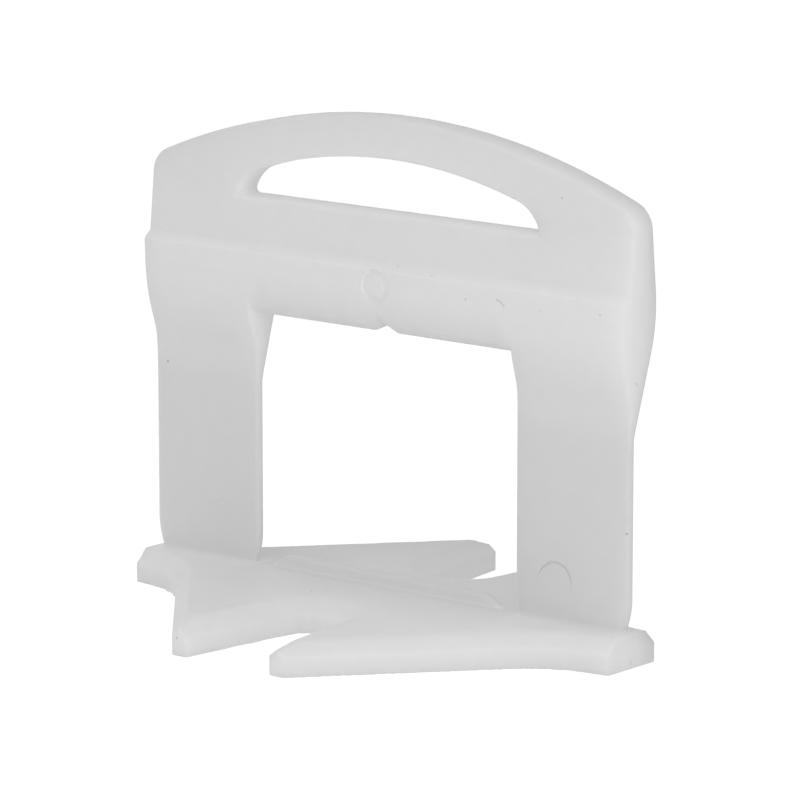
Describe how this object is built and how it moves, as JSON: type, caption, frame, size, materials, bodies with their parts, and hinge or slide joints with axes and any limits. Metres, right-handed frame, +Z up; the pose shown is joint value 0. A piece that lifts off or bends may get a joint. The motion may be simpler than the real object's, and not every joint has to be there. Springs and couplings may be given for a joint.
{
  "type": "tile levelling clip",
  "caption": "One-piece plastic tile levelling clip: pronged base, thin break-off legs round a wedge window, thick band above it and an arched handle with a finger slot.",
  "frame": {"origin": "underside of the base, at the middle of the clip", "axes": "+X along the tile joint and the plate, +Y across the joint with the gate mark at -Y, +Z up from the underside to the handle"},
  "size_m": [0.0406, 0.0318, 0.0333],
  "materials": {
    "natural_plastic": "satin natural polypropylene, milky"
  },
  "bodies": {
    "root": {"clip": "natural_plastic"}
  },
  "joints": []
}
